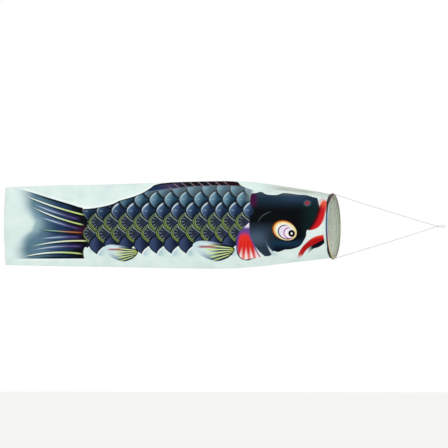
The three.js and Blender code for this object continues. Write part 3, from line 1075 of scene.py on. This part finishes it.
def roll_hem_section():
    """The folded hem's section over the hoop: a roll, open at the back, and its two long lips."""
    bpy.ops.object.select_all(action="DESELECT")
    bpy.ops.mesh.primitive_circle_add(
        vertices=ROLL_SIDES, radius=ROLL_RADIUS,
        location=(0, 0, HOOP_RADIUS), rotation=(math.pi / 2, 0, 0),
    )
    bpy.ops.object.transform_apply(location=True, rotation=True, scale=False)
    bpy.ops.object.mode_set(mode="EDIT")
    back = min(vertex.co.x for vertex in bpy.context.object.data.vertices)
    select_where(lambda place: place.x < back + 0.01 * MM)
    bpy.ops.mesh.delete(type="EDGE_FACE")
    select_where(lambda place: place.x < back + 0.01 * MM)
    half_gap = ROLL_RADIUS * math.sin(math.pi / ROLL_SIDES)
    spread = (1, 1, LIP_HALF_GAP / half_gap)
    bpy.ops.transform.resize(value=spread, center_override=(back, 0, HOOP_RADIUS))
    step = (-(TAPE_DEPTH + back) / LIP_STEPS, 0, 0)
    for _ in range(LIP_STEPS):
        bpy.ops.mesh.extrude_vertices_move(TRANSFORM_OT_translate={"value": step})


def edge_print_and_sheen():
    """The hem's black printed edge, with a painted sheen of lighter blue across it at mid height, and
    paler where the fold catches the light at the front, as a painted highlight.
    """
    r = Recipe("hem_edge")
    place = r.object_place()
    x, y, z = (part * 1000 for part in r.split(place))
    ahead = x + z * math.tan(MOUTH_LEAN) - MOUTH_X * 1000
    radius = r.away(y, z) - HOOP_RADIUS * 1000
    fine = r.cloud(place, 900.0, 3.0)
    black = r.mix("080a12", "1c2436", r.ramp(fine, 0.45, 0.8))
    # Painted sheen: a lighter blue across the black at mid height round the hoop.
    black = r.mix(black, "34506c", r.ramp(abs(z - 5), 50, 20) * 0.7)
    reverse = r.mix("dde4d6", "d0d7cb", r.ramp(fine, 0.35, 0.7))
    # Painted highlight along the front of the fold, its tint changing with height round the hoop, and
    # olive on the far side.
    fold = r.coats(
        "8fb6cf",
        ("aaa0cc", r.ramp(z, 12, -8)),
        ("e2bda4", r.ramp(z, -22, -42)),
        ("b7b672", r.ramp(z, -66, -84)),
        ("a9c4c4", r.ramp(z, 22, 48)),
        ("5a2c38", r.ramp(z, 60, 80)),
    )
    far = r.mix("a3a868", "8c917e", r.ramp(abs(z + 10), 24, 40))
    fold = r.mix(fold, far, r.ramp(y, -10, 10))
    colour = r.mix(black, fold, r.ramp(ahead, 1.1, 2.4))
    colour = r.mix(colour, reverse, r.ramp(radius, 0.6, -0.6) * r.ramp(ahead, 1.2, 0.4))
    ribs = r.math("SINE", r.math("ARCTAN2", y, z) * 900)
    r.set(Base_Color=colour, Roughness=0.7, Normal=r.bump(ribs * 0.2 + fine, 0.15 * MM, 0.5))
    return r.material


def make_mouth_binding(head, stitch, thread):
    """The hem rolled round the wire hoop: its section spun round, then puckered."""
    roll_hem_section()
    hem = bpy.context.object
    hem.name = hem.data.name = "mouth_hem"
    bpy.ops.mesh.select_all(action="SELECT")
    bpy.ops.mesh.spin(steps=RIM_STEPS, angle=2 * math.pi, center=(0, 0, 0), axis=(1, 0, 0))
    bpy.ops.mesh.select_all(action="SELECT")
    bpy.ops.mesh.remove_doubles(threshold=0.01 * MM)
    bpy.ops.mesh.normals_make_consistent(inside=False)
    bpy.ops.object.mode_set(mode="OBJECT")
    give_wall(hem, TAPE_THICKNESS)
    hem.data.materials.append(edge_print_and_sheen())
    hem.data.materials.append(head)
    layer = hem.data.uv_layers.new(name="cloth")
    for face in hem.data.polygons:
        outside = math.hypot(face.center.y, face.center.z) > HOOP_RADIUS + 0.3 * MM
        face.material_index = 1 if outside and face.center.x < -ROLL_RADIUS else 0
        face.use_smooth = True
        for corner in face.loop_indices:
            spot = hem.data.vertices[hem.data.loops[corner].vertex_index].co
            rise = math.atan2(spot.z, abs(spot.y)) * HOOP_RADIUS
            layer.uv[corner].vector = (CLOTH_LENGTH + spot.x, rise)
    for vertex in hem.data.vertices:
        vertex.co = on_rim(vertex.co)
    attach(hem, "mouth")
    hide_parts("mouth_binding")

    angles = np.linspace(0, 2 * math.pi, RIM_STEPS + 1)
    normals = np.stack([0 * angles, np.sin(angles), np.cos(angles)], 1)
    ring = (HOOP_RADIUS + HEM_STITCHES_OUT) * normals
    ring[:, 0] = HEM_STITCHES_IN - TAPE_DEPTH
    points = np.array([on_rim(Vector(spot)) for spot in ring])
    stitches = stitch_row("mouth_hem_stitches", stitch, points, normals, thread)
    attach(stitches, "mouth")
    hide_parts("binding_thread")


RIM_SHARES = (0.0, 0.012)
RIM_LINES = [section_line(share) for share in RIM_SHARES]


def on_rim(spot):
    """Carries a point of a straight tube round the hoop's axis onto the leaning, flaring mouth."""
    angle = math.atan2(spot.z, abs(spot.y))
    back = max(-spot.x, 0)
    share = back / CLOTH_LENGTH / RIM_SHARES[1]
    steps = np.linspace(-math.pi / 2, math.pi / 2, len(RIM_LINES[0][0]))
    near, far = (np.array([np.interp(angle, steps, axis) for axis in line]) for line in RIM_LINES)
    at = near + (far - near) * share
    out = math.hypot(spot.y, spot.z) - HOOP_RADIUS
    pucker = 0.16 * math.sin(angle * 46) + 0.1 * math.sin(angle * 83 + 1)
    out += pucker * MM * min(back / (3 * MM), 1)
    at = at * (1 + out / np.linalg.norm(at))
    x = MOUTH_X + spot.x - math.tan(MOUTH_LEAN) * at[1]
    z = at[1] + MIDDLE_HEIGHT(back / CLOTH_LENGTH)
    return Vector((x, math.copysign(at[0], spot.y), z))


# ---------- cord ----------
CORD_STEP = 0.9 * MM
APEX_KNOT_SIZE = 2.3 * MM
TIE_KNOT_SIZE = 1.75 * MM
LINE_SAG = 1.2 * MM


def evenly_along(points):
    """The same line with its points a cord's step apart, and its length."""
    points = np.array(points, float)
    runs = np.linalg.norm(np.diff(points, axis=0), axis=1)
    at = np.concatenate([[0], np.cumsum(runs)])
    count = max(int(at[-1] / CORD_STEP), 12)
    even = np.linspace(0, at[-1], count + 1)
    return np.stack([np.interp(even, at, points[:, k]) for k in range(3)], 1), at[-1]


def twisted_cord(name, points, material, radius=CORD_RADIUS, pitch=6.5 * MM, closed=False):
    """A laid cord: three strands wound round each other along a path."""
    line, length = evenly_along(points)
    ahead = np.gradient(line, axis=0)
    if closed:
        ahead[0] = ahead[-1] = line[1] - line[-2]
    ahead /= np.linalg.norm(ahead, axis=1, keepdims=True)
    side = np.cross(ahead[0], (0.3, 0.9, 0.2))
    frames = []
    for tangent in ahead:
        side = side - tangent * side.dot(tangent)
        side /= np.linalg.norm(side)
        frames.append((side, np.cross(tangent, side)))
    turns = length / pitch
    if closed:
        turns = round(turns * 3) / 3
    mesh = bmesh.new()
    layer = mesh.loops.layers.uv.new("cord")
    strand, reach, edges = radius * 0.52, radius * 0.5, 6
    for k in range(3):
        rings = []
        for i, (spot, (a, b)) in enumerate(zip(line, frames)):
            turn = 2 * math.pi * (turns * i / (len(line) - 1) + k / 3)
            centre = spot + reach * (math.cos(turn) * a + math.sin(turn) * b)
            rolls = [turn + 2 * math.pi * m / edges for m in range(edges)]
            ways = [math.cos(roll) * a + math.sin(roll) * b for roll in rolls]
            rings.append([mesh.verts.new(centre + strand * way) for way in ways])
        for i, (first, second) in enumerate(zip(rings, rings[1:])):
            for m in range(edges):
                n = (m + 1) % edges
                face = mesh.faces.new((first[m], first[n], second[n], second[m]))
                for loop, uv in zip(face.loops, ((m, i), (m + 1, i), (m + 1, i + 1), (m, i + 1))):
                    loop[layer].uv = (uv[0] / edges, uv[1] * CORD_STEP)
        mesh.faces.new(rings[0][::-1])
        mesh.faces.new(rings[-1])
    bmesh.ops.recalc_face_normals(mesh, faces=mesh.faces)
    piece = new_piece(name, mesh, material)
    return piece


def cord_fibre():
    r = Recipe("bridle_cord")
    around, along, _ = r.split(r.flat_place("cord"))
    fine = r.cloud(r.object_place(), 1800.0, 3.0)
    lay = r.math("SINE", around * 25.0 + along * 9000.0)
    colour = r.mix("bfc0bc", "eeeeea", r.ramp(lay + fine, -0.2, 1.2))
    r.set(Base_Color=colour, Roughness=0.8, Normal=r.bump(lay * 0.5 + fine, 0.08 * MM, 0.6))
    return r.material


def overhand(middle, size, stretch=(1, 1, 1)):
    """The closed line of an overhand knot pulled tight."""
    line = []
    for i in range(97):
        t = 2 * math.pi * i / 96
        across, up = math.sin(t) + 2 * math.sin(2 * t), math.cos(t) - 2 * math.cos(2 * t)
        spot = Vector((across, -math.sin(3 * t), up))
        line.append(middle + spot * Vector(stretch) * (size / 3))
    return line


def tie_bridle():
    cord = cord_fibre()
    apex = middle_of("apex_knot")
    knotted = overhand(apex, APEX_KNOT_SIZE, (1.35, 1, 1))
    knot = twisted_cord("apex_knot_wound", knotted, cord, 0.8 * MM, closed=True)
    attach(knot, "bridle")
    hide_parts("apex_knot")
    low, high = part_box("hanging_loop")
    neck, wide = low.x, (high.z - low.z) / 2 - CORD_RADIUS
    half = [
        (neck, 1.2 * MM), (neck * 0.7, wide * 0.72), (neck * 0.36, wide), (neck * 0.1, wide * 0.74),
    ]
    bends = [*half, (CORD_RADIUS, 0), *[(x, -z) for x, z in half[::-1]]]
    route = smooth_route([Vector((x, 0, z)) for x, z in bends], 60)
    loop = twisted_cord("loop_of_cord", route, cord)
    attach(loop, "bridle")
    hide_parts("hanging_loop")
    for word in ("upper", "lower"):
        tie = middle_of(f"{word}_tie_knot")
        run = (apex - tie).normalized()
        start, end = tie + run * 2.9 * MM, apex - run * 4.3 * MM
        path = []
        for i in range(101):
            t = i / 100
            path.append(start.lerp(end, t) + Vector((0, 0, -4 * LINE_SAG * t * (1 - t))))
        line = twisted_cord(f"{word}_line", path, cord)
        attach(line, "bridle")
        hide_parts(f"{word}_bridle_line")
        length = sum((b - a).length for a, b in zip(path, path[1:]))

        knotted = overhand(tie, TIE_KNOT_SIZE)
        wound = twisted_cord(f"{word}_knot_wound", knotted, cord, 0.7 * MM, closed=True)
        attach(wound, "bridle")
        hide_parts(f"{word}_tie_knot")
        low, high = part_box(f"{word}_tie_loop")
        centre, reach = (low + high) / 2, (high.x - low.x) / 2 - CORD_RADIUS
        turns = [2 * math.pi * i / 48 for i in range(49)]
        ring = [centre + reach * Vector((math.cos(t), 0, math.sin(t))) for t in turns]
        tied = twisted_cord(f"{word}_tie_cord", ring, cord, closed=True)
        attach(tied, "mouth")
        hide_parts(f"{word}_tie_loop")


def smooth_route(bends, count):
    """A Catmull-Rom line through a few bends."""
    line = []
    for i in range(len(bends) - 1):
        a, b, c, d = (bends[min(max(i + k, 0), len(bends) - 1)] for k in (-1, 0, 1, 2))
        for j in range(count // (len(bends) - 1)):
            t = j / (count // (len(bends) - 1))
            line.append(0.5 * (2 * b + (c - a) * t + (2 * a - 5 * b + 4 * c - d) * t * t
                               + (3 * b - a - 3 * c + d) * t ** 3))
    return [*line, bends[-1]]


# ---------- metal inside the hem ----------
def drawn_wire():
    r = Recipe("hoop_wire")
    place = r.object_place()
    fine = r.cloud(place, 1200.0, 4.0)
    spots = r.cloud(place, 160.0, 3.0)
    colour = r.mix("9aa0a6", "6f6a62", r.ramp(spots, 0.55, 0.75) * 0.5)
    scratched = r.bump(fine, 0.03 * MM, 0.4)
    r.set(Base_Color=colour, Metallic=1.0, Roughness=0.28 + fine * 0.25, Normal=scratched)
    return r.material


def crimped_tube():
    r = Recipe("ferrule")
    place = r.object_place()
    fine = r.cloud(place, 700.0, 4.0)
    colour = r.mix("c9ccd1", "a5a9ae", r.ramp(fine, 0.4, 0.7))
    scratched = r.bump(fine, 0.05 * MM, 0.5)
    r.set(Base_Color=colour, Metallic=1.0, Roughness=0.35 + fine * 0.2, Normal=scratched)
    return r.material


def finish_metal():
    for node, material in (("mouth_hoop", drawn_wire()), ("hoop_ferrule", crimped_tube())):
        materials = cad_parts[node].data.materials
        materials.clear()
        materials.append(material)


# ---------- floor and light ----------
def add_stage():
    bpy.ops.object.select_all(action="DESELECT")
    bpy.ops.mesh.primitive_plane_add(size=60, location=(-0.67, 0, -0.75))
    floor = bpy.context.object
    floor.name = "floor"
    r = Recipe("pale_floor")
    r.set(Base_Color="f4f4f2", Roughness=0.9)
    floor.data.materials.append(r.material)
    world = bpy.data.worlds.new("soft_room")
    world.use_nodes = True
    sky = world.node_tree.nodes["Background"].inputs
    sky["Color"].default_value = (1, 1, 1, 1)
    sky["Strength"].default_value = 1.0
    bpy.context.scene.world = world
    for name, place, size, power in (
        ("key_light", (0.6, -2.4, 2.2), 1.8, 9),
        ("fill_light", (-2.2, -2.0, 0.6), 2.0, 3),
    ):
        data = bpy.data.lights.new(name, "AREA")
        data.size = size
        data.energy = power
        light = bpy.data.objects.new(name, data)
        bpy.context.scene.collection.objects.link(light)
        light.location = place
        aim = Vector((-0.7, 0, 0)) - Vector(place)
        light.rotation_euler = aim.to_track_quat("-Z", "Y").to_euler()


add_camera()
tie_bridle()
prints = [tail_print(), body_print(), head_print()]
inner = reverse_of_cloth()
hang_cloth(prints, inner)
thread = sewing_thread()
stitch = model_stitch()
sew_seams(stitch, thread)
sew_tail_hem(stitch, thread, inner)
make_mouth_binding(prints[2], stitch, thread)
finish_metal()
add_stage()
bpy.context.view_layer.update()
